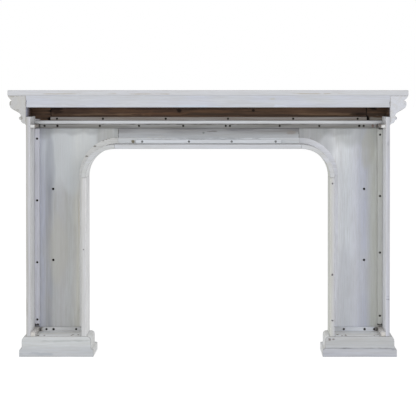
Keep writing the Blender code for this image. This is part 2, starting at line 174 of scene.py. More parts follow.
def whitewashed_softwood(name, grain, wash, patch, staves=(), across=ALONG_X, spots=(), dirt_and_shade=0.22,
                         rubbed=0.5):
    """Softwood under a thin brushed lime wash: matt, cool and cloudy, with streaks along the grain,
    warmer wood where arrises are rubbed, and grey dirt and painted shade in the corners."""
    material = bpy.data.materials.new("whitewashed softwood " + name)
    material.use_nodes = True
    tree = material.node_tree
    shader = tree.nodes["Principled BSDF"]
    cloudy = grain_space(tree, name, grain, CLOUD_STRETCH)
    fibrous = grain_space(tree, name, grain, FIBRE_STRETCH)
    ragged = figure(tree, cloudy, 0.011, 0.3, 0.7, 1.0, 4.0)
    strokes = figure(tree, fibrous, BRUSH_WIDTH, 0.35, 0.68, 0.22, 3.0)
    rings = figure(tree, fibrous, EARLY_WOOD, 0.40, 0.66, 0.17)
    fibres = figure(tree, fibrous, FIBRE_WIDTH, 0.3, 0.7, 0.11)
    clouds = figure(tree, cloudy, PATCH_WIDTH, 0.42, 0.62, 0.55)
    colour = hex_linear(wash)
    if staves:
        place = add_node(tree, "TexCoord", {}, {}).outputs["Object"]
        axes = add_node(tree, "SeparateXYZ", {}, {"Vector": place})
        start, end = staves[0][0], staves[-1][0]
        reach = add_node(tree, "MapRange", {},
                         {"Value": axes.outputs[across], "From Min": start, "From Max": end})
        ramp = add_node(tree, "ValToRGB", {}, {"Fac": reach.outputs["Result"]})
        stops = ramp.color_ramp.elements
        stops[0].color = hex_linear(staves[0][1])
        stops[1].color = hex_linear(staves[-1][1])
        for position, stave in staves[1:-1]:
            stop = stops.new((position - start) / (end - start))
            stop.color = hex_linear(stave)
        colour = ramp.outputs["Color"]
        clouds = figure(tree, cloudy, PATCH_WIDTH, 0.46, 0.66, 0.30)
    coats = [(clouds, patch), (strokes, BRUSHED_WHITE), (rings, RING_SHADE), (fibres, FIBRE_SHADE)]
    broad = figure(tree, cloudy, PATCH_WIDTH, 0.3, 0.7, 0.5)
    for centre, radii, shade, share in spots:
        edge = broad if sorted(radii)[1] > BROAD_MARK else ragged
        coats.append((spot(tree, centre, radii, share, edge), shade))
    coats.append((worn_arris(tree, RUB_REACH, rubbed, ragged), RUBBED_WOOD))
    # Dirt and painted shade: the wash turns grey where ambient occlusion finds a corner or recess.
    corner = add_node(tree, "AmbientOcclusion", {"samples": 6}, {"Distance": DIRT_AND_SHADE_REACH})
    corner_dirt_and_shade = add_node(tree, "MapRange", {}, {"Value": corner.outputs["AO"], "From Min": 0.60,
                                             "From Max": 0.28, "To Max": dirt_and_shade})
    coats.append((corner_dirt_and_shade.outputs["Result"], CORNER_DIRT_AND_SHADE))
    tree.links.new(lay_coats(tree, colour, coats), shader.inputs["Base Color"])
    relief = add_node(tree, "Math", {"operation": "ADD"}, {0: rings, 1: fibres})
    raised = add_node(tree, "Math", {"operation": "MULTIPLY"}, {0: relief.outputs["Value"], 1: 7.0})
    bump = add_node(tree, "Bump", {}, {"Height": raised.outputs["Value"], "Strength": 0.35,
                                       "Distance": FIBRE_RELIEF})
    tree.links.new(bump.outputs["Normal"], shader.inputs["Normal"])
    low, high = BRUSHED_ROUGHNESS
    matt = add_node(tree, "MapRange", {}, {"Value": strokes, "From Max": 0.22, "To Min": low,
                                           "To Max": high})
    tree.links.new(matt.outputs["Result"], shader.inputs["Roughness"])
    shader.inputs["Specular IOR Level"].default_value = 0.3
    return material


END_RING = 0.0035            # spacing of year rings on a sawn end


def washed_end_grain(name, wash, grain, spots=()):
    """Sawn end of a washed board: the open pores drink the wash, so it is duller, with faint rings."""
    material = bpy.data.materials.new("washed end grain " + name)
    material.use_nodes = True
    tree = material.node_tree
    shader = tree.nodes["Principled BSDF"]
    space = grain_space(tree, name + " end", grain, 1)
    bent = figure(tree, space, 0.05, 0.2, 0.8)
    shift = add_node(tree, "VectorMath", {"operation": "ADD"}, {0: space, 1: bent})
    rings = add_node(tree, "TexWave", {"wave_type": "RINGS", "rings_direction": "SPHERICAL"},
                     {"Vector": shift.outputs["Vector"], "Scale": 0.16 / END_RING, "Distortion": 3.0,
                      "Detail": 3.0})
    faint = add_node(tree, "MapRange", {}, {"Value": rings.outputs["Fac"], "To Max": 0.16})
    pores = figure(tree, space, 0.004, 0.4, 0.7, 0.22)
    blotches = figure(tree, space, 0.022, 0.45, 0.65, 0.30, 3.0)
    ragged = figure(tree, space, 0.012, 0.3, 0.6, 1.0, 3.0)
    coats = [(faint.outputs["Result"], "#a9a39a"), (pores, "#938d84"), (blotches, "#bcb9b1"),
             (worn_arris(tree, 0.009, 0.9, ragged), "#8b8579")]
    for centre, radii, shade, share in spots:
        coats.append((spot(tree, centre, radii, share, ragged), shade))
    tree.links.new(lay_coats(tree, hex_linear(wash), coats), shader.inputs["Base Color"])
    bump = add_node(tree, "Bump", {}, {"Height": pores, "Strength": 0.3, "Distance": 0.0015})
    tree.links.new(bump.outputs["Normal"], shader.inputs["Normal"])
    shader.inputs["Roughness"].default_value = 0.85
    shader.inputs["Specular IOR Level"].default_value = 0.25
    return material


WANDER_PITCH = 27            # waves a metre by which an arris wanders
DENT_PITCH = 61              # dents are smaller and sharper
DENT_START = 0.42            # only peaks above this are dents


def planed_copy(node, grain, materials, rub=0.0007):
    """Copy a solid's mesh, cut it across its grain and rub its arrises unevenly by hand.

    The first material covers the board and the second its sawn ends."""
    shape = bmesh.new()
    shape.from_mesh(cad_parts[node].data)
    bmesh.ops.remove_doubles(shape, verts=shape.verts, dist=WELD)
    bmesh.ops.dissolve_limit(shape, angle_limit=FLAT_TURN, verts=shape.verts, edges=shape.edges)
    low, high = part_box(node)
    dice = random.Random(node)
    across = Vector([1.0 if axis == grain else 0.0 for axis in range(3)])
    place = low[grain] + CUT_PITCH * dice.uniform(0.5, 1.0)
    while place < high[grain] - CUT_PITCH / 2:
        parts = shape.verts[:] + shape.edges[:] + shape.faces[:]
        bmesh.ops.bisect_plane(shape, geom=parts, plane_co=across * place, plane_no=across)
        place += CUT_PITCH * dice.uniform(0.6, 1.4)
    shape.normal_update()
    moves = []
    for vert in shape.verts:
        faces = sorted(vert.link_faces, key=lambda face: face.calc_area())
        main = faces[-1].normal
        away = Vector()
        for face in faces[:-1]:
            if face.normal.angle(main, 0) > ARRIS_TURN:
                away += face.normal
        away -= main * away.dot(main)
        if away.length > 0.1:
            wander = max(0.0, noise.noise(vert.co * WANDER_PITCH) + 0.25)
            dent = max(0.0, noise.noise(vert.co * DENT_PITCH + across) - DENT_START) * 3
            moves.append((vert, away.normalized() * -rub * (wander + dent)))
    for vert, move in moves:
        vert.co += move
    shape.normal_update()
    for face in shape.faces:
        if abs(face.normal[grain]) > 0.9:
            face.material_index = 1
        else:
            face.material_index = 0
    mesh = bpy.data.meshes.new("planed_" + node)
    shape.to_mesh(mesh)
    shape.free()
    for material in materials:
        mesh.materials.append(material)
    mesh.shade_smooth()
    mesh.set_sharp_from_angle(angle=SMOOTH_TURN)
    piece = bpy.data.objects.new("planed_" + node, mesh)
    bpy.context.scene.collection.objects.link(piece)
    even = piece.modifiers.new("even shading", "WEIGHTED_NORMAL")
    even.keep_sharp = True
    even.weight = 100
    return piece


SIDE_KNOCKS = {
    "left": ((0.893, 0.285, 0.009, 0.0032, "#7f828c", 1.0), (0.893, 0.300, 0.009, 0.0022, "#989aa4", 0.7),
             (0.890, 1.056, 0.006, 0.010, "#a3a5ac", 0.7), (0.897, 0.945, 0.004, 0.010, "#a8aab2", 0.6)),
    "right": ((0.897, 0.242, 0.003, 0.055, "#989690", 0.6), (0.896, 0.505, 0.003, 0.080, "#a9a7a0", 0.5))}
for side, sign in SIDES:
    node = f"outer_panel_{side}"
    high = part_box(node)[1]
    staves = [(sign * x, shade) for x, shade in SIDE_STAVES_AND_LIGHT[side]]
    knocks = []
    for x, z, wide, tall, shade, share in SIDE_KNOCKS[side]:
        knocks.append(((sign * x, high.y, z), (wide, 0.012, tall), shade, share))
    board = planed_copy(node, ALONG_Z, (
        whitewashed_softwood(node, ALONG_Z, SIDE_TINT, SIDE_TINT, staves=staves, spots=knocks, dirt_and_shade=0.06),
        washed_end_grain(node, SIDE_TINT, ALONG_Z)))
    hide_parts(node)
    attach(board, "root")

# Inner sides of the legs, towards the opening. Each is a full-depth board 22 mm thick under the
# curved corner of the liner; its rear edge is nailed and the nail heads are filled. The face towards
# the opening is painted lighter than the rest, as painted light on a face turned to the side.
# The first stop, the lightest, lies on the face towards the opening: painted light.
JAMB_STAVES_AND_LIGHT = {
    "left": ((0.604, "#dadcd5"), (0.6065, "#c3c4bf"), (0.616, "#c0c1c1"), (0.626, "#bfc1c8")),
    "right": ((0.604, "#f6f7f8"), (0.6065, "#c9cacb"), (0.616, "#c3c3c3"), (0.626, "#bfc0be"))}
JAMB_TINT = {"left": "#bebeb7", "right": "#bec0c3"}
FILLED_NAILS = {"left": (0.858, 0.407, 0.180), "right": (0.532,)}
NAIL_INSET = 0.012           # from the opening's face to the nails
for side, sign in SIDES:
    node = f"jamb_panel_{side}"
    low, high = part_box(node)
    nail_x = sign * (min(abs(low.x), abs(high.x)) + NAIL_INSET)
    filled = [((nail_x, high.y, z), (0.0048, 0.01, 0.0048), "#5d585d", 1.0) for z in FILLED_NAILS[side]]
    staves = [(sign * x, shade) for x, shade in JAMB_STAVES_AND_LIGHT[side]]
    board = planed_copy(node, ALONG_Z, (
        whitewashed_softwood(node, ALONG_Z, JAMB_TINT[side], JAMB_TINT[side], staves=staves, spots=filled),
        washed_end_grain(node, JAMB_TINT[side], ALONG_Z)))
    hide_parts(node)
    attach(board, "root")

# Front boards of the legs. Each is a panel glued up from softwood staves that took the wash
# differently, sawn to the curve of the liner. The run of stave shades also holds painted light and
# shade: darker at the end beside the lintel, with the lintel's painted shadow, darker in a strip a
# little in from the outer side, as painted shade of the outer board, and lighter again in the outer
# corner, as painted light. Two bolt holes are bored into its rear face.
FRONT_STAVES_LIGHT_AND_SHADE = {
    "left": (
        (0.458, "#97989c"), (0.520, "#9e9ea3"), (0.600, "#bcbec3"), (0.635, "#fafcff"), (0.700, "#eef3f8"),
        (0.745, "#dcdfe9"), (0.765, "#c5c9d6"), (0.795, "#bfc3d1"), (0.828, "#c3c6bf"), (0.879, "#d8dad4")),
    "right": (
        (0.458, "#adb0b1"), (0.560, "#b3b6b7"), (0.610, "#cacac4"), (0.665, "#dbdbd4"), (0.700, "#cacdcd"),
        (0.740, "#c1c2c4"), (0.785, "#b4b7b9"), (0.800, "#a2a5ad"), (0.822, "#a2a5ae"), (0.828, "#bcc0ce"),
        (0.879, "#d4d8e8"))}
FRONT_TINT = {"left": "#c4c6c6", "right": "#b6b6b0"}
# The four wide dark marks high on the panels, at heights from 1.116 to 1.128, are painted shade under the
# batten.
FRONT_MARKS_AND_SHADE = {
    "left": (
        ((0.521, 1.063), (0.012, 0.014), "#8f8d89", 0.6), ((0.700, 0.300), (0.050, 0.180), "#c9cbd2", 0.4),
        ((0.700, 1.120), (0.240, 0.080), "#a3a6a4", 0.5), ((0.805, 1.020), (0.028, 0.080), "#b7b7b0", 0.6),
        ((0.645, 1.116), (0.080, 0.028), "#8f9193", 0.4), ((0.600, 1.040), (0.045, 0.045), "#e4e7ec", 0.35)),
    "right": (
        ((0.700, 1.010), (0.120, 0.170), "#d6dbdf", 0.6), ((0.654, 0.688), (0.0035, 0.120), "#bdb08f", 0.7),
        ((0.650, 0.300), (0.004, 0.160), "#b9b096", 0.6), ((0.760, 0.520), (0.050, 0.140), "#bfbeb6", 0.5),
        ((0.800, 0.930), (0.020, 0.120), "#969aa6", 0.4), ((0.700, 1.128), (0.200, 0.028), "#8e9092", 0.4),
        ((0.835, 1.118), (0.045, 0.035), "#7f8183", 0.25))}
BOLT_X = 0.787
BOLT_HEIGHTS = (0.820, 0.460)
BOLT_HOLE = ((-0.002, 0.0062), (0.016, 0.0062))


def drilled_wood():
    """The raw wall of a drilled hole: brown wood scorched by the drill, all but black in its depth."""
    material = bpy.data.materials.new("drilled wood")
    material.use_nodes = True
    tree = material.node_tree
    shader = tree.nodes["Principled BSDF"]
    space = grain_space(tree, "drilled wood", ALONG_Y, 1)
    scorched = figure(tree, space, 0.0012, 0.3, 0.7)
    colour = lay_coats(tree, hex_linear("#1e1713"), [(scorched, "#0d0a08")])
    tree.links.new(colour, shader.inputs["Base Color"])
    shader.inputs["Roughness"].default_value = 0.9
    return material


DRILLED_WOOD = drilled_wood()
BORE_SIDES = 20
BORE_LIP = 0.0004            # the bored wall is raw wood from this depth on
BORE_SLACK = 1.02            # a face this much wider than the hole still belongs to its wall


def drill(piece, places, rear, rings):
    """Bore round holes from a board's rear face; rings are (depth, radius) pairs down each hole."""
    shape = bmesh.new()
    for x, z in places:
        loops = []
        for depth, radius in rings:
            turns = [math.tau * i / BORE_SIDES for i in range(BORE_SIDES)]
            loop = [shape.verts.new((x + radius * math.cos(a), rear - depth, z + radius * math.sin(a)))
                    for a in turns]
            loops.append(loop)
        for near, far in zip(loops, loops[1:]):
            for i in range(BORE_SIDES):
                after = (i + 1) % BORE_SIDES
                shape.faces.new((near[i], near[after], far[after], far[i]))
        shape.faces.new(loops[0])
        shape.faces.new(loops[-1])
    bmesh.ops.recalc_face_normals(shape, faces=shape.faces)
    mesh = bpy.data.meshes.new("drill")
    shape.to_mesh(mesh)
    shape.free()
    bit = bpy.data.objects.new("drill", mesh)
    bpy.context.scene.collection.objects.link(bit)
    even = piece.modifiers["even shading"]
    even.show_viewport = False
    cut = piece.modifiers.new("bores", "BOOLEAN")
    cut.operation = "DIFFERENCE"
    cut.solver = "EXACT"
    cut.object = bit
    evaluated = piece.evaluated_get(bpy.context.evaluated_depsgraph_get())
    bored = bpy.data.meshes.new_from_object(evaluated)
    piece.modifiers.remove(cut)
    even.show_viewport = True
    piece.data = bored
    bpy.data.objects.remove(bit)
    if len(bored.materials) < 3:
        bored.materials.append(DRILLED_WOOD)
    widest = max(radius for depth, radius in rings) * BORE_SLACK
    for polygon in bored.polygons:
        centre = polygon.center
        inside = any(math.hypot(centre.x - x, centre.z - z) < widest for x, z in places)
        if inside and rear - centre.y > BORE_LIP:
            polygon.material_index = 2
    bored.set_sharp_from_angle(angle=SMOOTH_TURN)


FRONT_FACE_WASH = ("#c1c4c8", "#bcbdbb")


def wash_front_face(piece, material):
    """Wash a board's front face evenly: the patches of its rear face don't reach it."""
    piece.data.materials.append(material)
    for polygon in piece.data.polygons:
        if polygon.normal.y < -0.9:
            polygon.material_index = len(piece.data.materials) - 1


for side, sign in SIDES:
    node = f"front_panel_{side}"
    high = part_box(node)[1]
    staves = [(sign * x, shade) for x, shade in FRONT_STAVES_LIGHT_AND_SHADE[side]]
    marks = []
    for (x, z), (wide, tall), shade, share in FRONT_MARKS_AND_SHADE[side]:
        marks.append(((sign * x, high.y, z), (wide, 0.02, tall), shade, share))
    board = planed_copy(node, ALONG_Z, (
        whitewashed_softwood(node, ALONG_Z, FRONT_TINT[side], FRONT_TINT[side], staves=staves, spots=marks),
        washed_end_grain(node, FRONT_TINT[side], ALONG_Z)))
    drill(board, [(sign * BOLT_X, z) for z in BOLT_HEIGHTS], high.y, BOLT_HOLE)
    wash_front_face(board, whitewashed_softwood(node + " front", ALONG_Z, *FRONT_FACE_WASH))
    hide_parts(node)
    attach(board, "root")

# Curved corners and straight head of the liner. The corners are sawn from thick stock to a
# quarter ring, the head is a plain board between them, and all are washed like the jambs. Their
# upper faces are painted near white at the head, as painted light inside the hollow, fading down the
# corners to the jambs' rear shades; their downward and sideways faces fade from the head's wash
# towards the jambs' lighter opening faces, which carry painted light.
HEAD_WASH = "#c2c5cc"
# Painted light: the near-white colour of the upper faces of the head and the corners.
HEAD_TOP_LIGHT = "#fafbfd"
ARCH_WASH = {
    "arch_corner_left": ("#c4c7ce", "#bebfbb"),
    "arch_corner_right": ("#bfc2c5", "#b9bbb8"),
    "arch_head": (HEAD_WASH, "#bdbfc1")}
# Both fades run into or out of painted light, as told in the heading above.
OPENING_LIGHT_FADE = {
    "arch_corner_left": ((-0.465, HEAD_WASH), (-0.600, "#dadcd5")),
    "arch_corner_right": ((0.465, HEAD_WASH), (0.570, "#f3f5f6"))}
TOP_LIGHT_FADE = {
    "arch_corner_left": ((-0.465, HEAD_TOP_LIGHT), (-0.600, "#bfc1c8")),
    "arch_corner_right": ((0.465, HEAD_TOP_LIGHT), (0.600, "#bfc0be"))}
for node, (wash, patch) in ARCH_WASH.items():
    opening_light_fade = OPENING_LIGHT_FADE.get(node, ())
    top_light_fade = TOP_LIGHT_FADE.get(node, ())
    board = planed_copy(node, ALONG_X, (
        whitewashed_softwood(node, ALONG_X, wash, patch, dirt_and_shade=0.06, rubbed=0.25),
        whitewashed_softwood(node + " opening", ALONG_X, HEAD_WASH, patch, staves=opening_light_fade, dirt_and_shade=0.06),
        whitewashed_softwood(node + " top", ALONG_X, HEAD_TOP_LIGHT, "#d5d7da", staves=top_light_fade, dirt_and_shade=0.0,
                             rubbed=0.1)))
    for polygon in board.data.polygons:
        if abs(polygon.normal.y) > 0.5:
            polygon.material_index = 0
        elif polygon.normal.z < 0.05:
            polygon.material_index = 1
        else:
            polygon.material_index = 2
    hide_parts(node)
    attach(board, "root")

# Front board over the opening, edge-jointed to the leg panels at two upright seams. Its shade
# grows darker and greyer upwards in bands: painted shadow of the shelf and deck over its upper part.
# Bands of painted shadow, darkest at the top.
LINTEL_BANDS_AND_SHADOW = (
    (1.051, "#b6bbc0"), (1.085, "#b4b8bd"), (1.100, "#9ea0a2"), (1.112, "#7e7e80"), (1.150, "#6f7073"))
node = "lintel_board"
low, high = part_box(node)
marks = [((x, high.y, 1.108), (0.0026, 0.006, 0.036), "#565756", 0.9) for x in (low.x, high.x)]
marks += [((0.026, high.y, 1.106), (0.007, 0.01, 0.006), "#6f7672", 0.7),
          ((-0.017, high.y, 1.112), (0.030, 0.01, 0.0032), "#66645f", 0.7),
          ((-0.419, high.y, 1.107), (0.022, 0.01, 0.011), "#8b847d", 0.6),
          ((-0.150, high.y, 1.118), (0.075, 0.01, 0.005), "#77777b", 0.6),
          ((0.250, high.y, 1.075), (0.060, 0.01, 0.010), "#c4c2b6", 0.5)]
board = planed_copy(node, ALONG_X, (
    whitewashed_softwood(node, ALONG_X, "#b3b6ba", "#b4b6b8", staves=LINTEL_BANDS_AND_SHADOW, across=ALONG_Z,
                         spots=marks),
    washed_end_grain(node, "#adafb2", ALONG_X)))
wash_front_face(board, whitewashed_softwood(node + " front", ALONG_X, *FRONT_FACE_WASH))
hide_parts(node)
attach(board, "root")

# Thin bands, 28 by 4 mm, pinned behind the joint between the liner and the front boards. The
# curved ones are sawn from thin board, and chips have come off the outer edge of one of them.
BAND_WASH = {"left": ("#c3c6cc", "#f1f3fa"), "right": ("#cbcccb", "#e6e7e6")}
BAND_FADE = (0.458, 0.600)   # from the upper end of a curved band to its foot
CHIPS = ((0.534, 1.066), (0.518, 1.071), (0.504, 1.075), (0.470, 1.080), (0.576, 1.036), (0.618, 0.985))
for side, sign in SIDES:
    for node, grain in ((f"jamb_band_{side}", ALONG_Z), (f"corner_band_{side}", ALONG_X)):
        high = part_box(node)[1]
        chips = []
        if side == "right":
            chips = [((x, high.y, z), (0.0075, 0.01, 0.0040), "#77756f", 0.8) for x, z in CHIPS]
        head_shade, jamb_shade = BAND_WASH[side]
        fading = ((sign * BAND_FADE[0], head_shade), (sign * BAND_FADE[1], jamb_shade))
        board = planed_copy(node, grain, (
            whitewashed_softwood(node, grain, jamb_shade, "#c6c8c8", staves=fading, spots=chips, dirt_and_shade=0.06),
            washed_end_grain(node, "#b9b9b5", grain)), rub=0.0003)
        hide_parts(node)
        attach(board, "root")
node = "head_band"
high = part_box(node)[1]
marks = (((0.0, high.y, 1.074), (0.27, 0.01, 0.0045), "#94979b", 0.55),
         ((0.383, high.y, 1.058), (0.0085, 0.01, 0.010), "#7d7662", 1.0))
board = planed_copy(node, ALONG_X, (
    whitewashed_softwood(node, ALONG_X, "#d0d4d9", "#cbced0", spots=marks, dirt_and_shade=0.05, rubbed=0.3),
    washed_end_grain(node, "#b9b9b5", ALONG_X)), rub=0.0003)
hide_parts(node)
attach(board, "root")

# Upright strips in the outer corners of the legs, of sawn softwood, each held by four screws in
# countersunk holes. The screws are black phosphated steel with cross recesses. Open joints at
# the ends of the strips are packed with dirt.
UPRIGHT_WASH = {"left": "#ced0ca", "right": "#dddee9"}
UPRIGHT_TINT = {"left": "#c9cbc7", "right": "#d3d5df"}
UPRIGHT_SCREWS = {"left": (1.095, 0.785, 0.499, 0.179), "right": (1.075, 0.763, 0.450, 0.160)}
COUNTERSINK = ((-0.002, 0.0056), (0.0004, 0.0056), (0.0034, 0.0026), (0.012, 0.0026))
HEAD_RADIUS = 0.0049
HEAD_SINK = 0.0006
HEAD_RINGS = ((0.30, 0.5), (0.52, 0.3), (0.80, 0.1), (1.0, 0.0))
HEAD_DOME = 0.0005
RECESS_DEPTH = 0.0011        # of the cross's four arms
RECESS_PIT = 0.0014          # and of its middle
SHANK_RADIUS = 0.0021
SHANK_DEPTH = 0.0034         # below the board's face, where the screw is cut off in its hole
SHANK_TIP = 0.0036
OPEN_JOINT = "#2b2622"


def screw_steel(name, shade, crystal_shade, metallic):
    """Phosphated steel of a wood screw: dark metal with a soft grey sheen, or dulled by the wash."""
    material = bpy.data.materials.new(name)
    material.use_nodes = True
    tree = material.node_tree
    shader = tree.nodes["Principled BSDF"]
    space = grain_space(tree, "steel", ALONG_Y, 1)
    crystals = figure(tree, space, 0.0008, 0.3, 0.7)
    colour = lay_coats(tree, hex_linear(shade), [(crystals, crystal_shade)])
    tree.links.new(colour, shader.inputs["Base Color"])
    matt = add_node(tree, "MapRange", {}, {"Value": crystals, "To Min": 0.45, "To Max": 0.65})
    tree.links.new(matt.outputs["Result"], shader.inputs["Roughness"])
    shader.inputs["Metallic"].default_value = metallic
    return material


BLACK_STEEL = screw_steel("black phosphated steel", "#242220", "#363330", 1.0)
SCREW_SIDES = 24


def drive_screws(name, places, rear, steel=BLACK_STEEL):
    """Countersunk cross-head screws, flush in a board's rear face, each turned its own way."""
    dice = random.Random(name)
    shape = bmesh.new()
    for x, z in places:
        turned = dice.uniform(0, math.tau)
        loops = []
        for share, dome in HEAD_RINGS:
            loop = []
            for i in range(SCREW_SIDES):
                angle = turned + math.tau * i / SCREW_SIDES
                recess = RECESS_DEPTH if i % (SCREW_SIDES // 4) == 0 and share < 0.6 else 0.0
                radius = HEAD_RADIUS * share
                depth = HEAD_SINK + recess - dome * HEAD_DOME
                loop.append(shape.verts.new((x + radius * math.cos(angle), rear - depth,
                                             z + radius * math.sin(angle))))
            loops.append(loop)
        shank = []
        for i in range(SCREW_SIDES):
            angle = turned + math.tau * i / SCREW_SIDES
            shank.append(shape.verts.new((x + SHANK_RADIUS * math.cos(angle), rear - SHANK_DEPTH,
                                          z + SHANK_RADIUS * math.sin(angle))))
        loops.append(shank)
        for inner, outer in zip(loops, loops[1:]):
            for i in range(SCREW_SIDES):
                after = (i + 1) % SCREW_SIDES
                shape.faces.new((inner[i], inner[after], outer[after], outer[i]))
        pit = shape.verts.new((x, rear - HEAD_SINK - RECESS_PIT, z))
        tip = shape.verts.new((x, rear - SHANK_TIP, z))
        for i in range(SCREW_SIDES):
            after = (i + 1) % SCREW_SIDES
            shape.faces.new((pit, loops[0][i], loops[0][after]))
            shape.faces.new((tip, shank[after], shank[i]))
    bmesh.ops.recalc_face_normals(shape, faces=shape.faces)
    mesh = bpy.data.meshes.new(name)
    shape.to_mesh(mesh)
    shape.free()
    mesh.materials.append(steel)
    mesh.shade_smooth()
    mesh.set_sharp_from_angle(angle=SMOOTH_TURN)
    screws = bpy.data.objects.new(name, mesh)
    bpy.context.scene.collection.objects.link(screws)
    return screws


for side, sign in SIDES:
    node = f"upright_cleat_{side}"
    low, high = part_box(node)
    middle = (low.x + high.x) / 2
    places = [(middle, z) for z in UPRIGHT_SCREWS[side]]
    joints = [((middle, high.y, low.z), (0.017, 0.03, 0.007), OPEN_JOINT, 1.0)]
    if side == "left":
        joints.append(((middle, high.y, high.z), (0.017, 0.03, 0.006), OPEN_JOINT, 0.9))
    board = planed_copy(node, ALONG_Z, (
        whitewashed_softwood(node, ALONG_Z, UPRIGHT_WASH[side], UPRIGHT_TINT[side], spots=joints, dirt_and_shade=0.1),
        washed_end_grain(node, "#5a544d", ALONG_Z)))
    drill(board, places, high.y, COUNTERSINK)
    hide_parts(node)
    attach(board, "root")
    screws = drive_screws(f"screws_upright_{side}", places, high.y)
    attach(screws, "root")

# Moulded feet. Round three sides of each leg runs a mitred base moulding; at the rear a plain
# board is sawn to the same outline at both ends. A floor board closes the hollow of the foot and
# is speckled with dirt in its corners.
FOOT_BANDS = {
    "left": ((0.0, "#adb0ba"), (0.041, "#afb2ba"), (0.046, "#b2b5b9"), (0.101, "#b2b4b5")),
    "right": ((0.0, "#b5b8bd"), (0.041, "#b8bcc0"), (0.060, "#c4c8ca"), (0.101, "#c7cacb"))}
FOOT_TINT = {"left": "#afb2b3", "right": "#b8bcbe"}
FOOT_STAIN = "#756c6a"
LEVEL_LINE = "#77787c"
SPECK_INSET = 0.035          # from the ends of a floor board to the middle of its specks
for side, sign in SIDES:
    node = f"base_rear_{side}"
    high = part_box(node)[1]
    stains = []
    if side == "left":
        stains.append(((-0.603, high.y, 0.084), (0.008, 0.01, 0.009), FOOT_STAIN, 0.9))
        stains.append(((-0.620, high.y, 0.088), (0.006, 0.01, 0.005), FOOT_STAIN, 0.7))
        stains.append(((-0.640, high.y, 0.0425), (0.120, 0.01, 0.0030), LEVEL_LINE, 0.5))
        stains.append(((-0.800, high.y, 0.0425), (0.160, 0.01, 0.0030), LEVEL_LINE, 0.6))
        stains.append(((-0.916, high.y, 0.036), (0.012, 0.01, 0.004), "#8a8a92", 0.6))
    else:
        stains.append(((0.700, high.y, 0.079), (0.110, 0.01, 0.0050), "#a6aaaa", 0.6))
        stains.append(((0.840, high.y, 0.015), (0.080, 0.01, 0.0070), "#a3a8af", 0.6))
    board = planed_copy(node, ALONG_X, (
        whitewashed_softwood(node, ALONG_X, FOOT_TINT[side], FOOT_TINT[side], staves=FOOT_BANDS[side],
                             across=ALONG_Z, spots=stains),
        washed_end_grain(node, FOOT_TINT[side], ALONG_X)))
    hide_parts(node)
    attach(board, "root")
    for part, grain, wash, patch in (
            ("front", ALONG_X, "#c8cbcc", "#c2c2be"),
            ("outer", ALONG_Y, "#c8cbcc", "#c2c2be"),
            ("inner", ALONG_Y, "#eceeef", "#e2e2de")):
        node = f"base_{part}_{side}"
        board = planed_copy(node, grain, (
            whitewashed_softwood(node, grain, wash, patch),
            washed_end_grain(node, FOOT_TINT[side], grain)))
        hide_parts(node)
        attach(board, "root")
    node = f"floor_board_{side}"
    low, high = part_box(node)
    specks = []
    dice = random.Random(node)
    for corner in (low.x + SPECK_INSET, high.x - SPECK_INSET):
        for i in range(5):
            speck = (corner + dice.uniform(-0.03, 0.03), high.y - dice.uniform(0, 0.06), high.z)
            specks.append((speck, (dice.uniform(0.003, 0.007), 0.014, 0.01), "#75685a", 0.8))
    board = planed_copy(node, ALONG_X, (
        whitewashed_softwood(node, ALONG_X, "#f6f8f9", "#e6e4dd", spots=specks),
        washed_end_grain(node, "#a09b92", ALONG_X)))
    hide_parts(node)
    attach(board, "root")

# Short strips at the top and the foot of each leg: side cleats that run from front to rear, with
# bright sawn ends, raw brown faces at the top and thinly washed ones at the foot, and a batten
# across the foot that two screws and one bolt go into.
SIDE_CLEAT_END = {"top": "#dcdee0", "foot": "#cfcdca"}
CLEAT_FACE = {"top": ("#c5c4c6", "#9a9189", "#7d746c"), "foot": ("#eae9ea", "#dad7d4", "#b5b0a9")}
FOOT_SCREWS = {"left": (0.684, 0.837), "right": (0.670, 0.820)}
FOOT_BOLT = {"left": 0.789, "right": 0.784}
FOOT_BATTEN_WASH = {"left": "#e0e5ed", "right": "#cdcfd1"}
for side, sign in SIDES:
    for place in ("top", "foot"):
        node = f"{place}_side_cleat_{side}"
        low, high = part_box(node)
        rear_shade, middle_shade, front_shade = CLEAT_FACE[place]
        faded = ((high.y, rear_shade), (high.y - 0.03, middle_shade), (low.y, front_shade))
        board = planed_copy(node, ALONG_Y, (
            whitewashed_softwood(node, ALONG_Y, middle_shade, middle_shade, staves=faded, across=ALONG_Y),
            washed_end_grain(node, SIDE_CLEAT_END[place], ALONG_Y)))
        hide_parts(node)
        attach(board, "root")
    node = f"foot_batten_{side}"
    low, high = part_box(node)
    middle = (low.z + high.z) / 2
    places = [(sign * x, middle) for x in FOOT_SCREWS[side]]
    grime = ((sign * 0.848, high.y, middle), (0.016, 0.01, 0.014), "#5f5850", 0.8)
    board = planed_copy(node, ALONG_X, (
        whitewashed_softwood(node, ALONG_X, FOOT_BATTEN_WASH[side], "#c6c7c6", spots=(grime,)),
        washed_end_grain(node, "#9b968e", ALONG_X)))
    drill(board, places, high.y, COUNTERSINK)
    drill(board, [(sign * FOOT_BOLT[side], middle)], high.y, BOLT_HOLE)
    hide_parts(node)
    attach(board, "root")
    screws = drive_screws(f"screws_foot_{side}", places, high.y)
    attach(screws, "root")

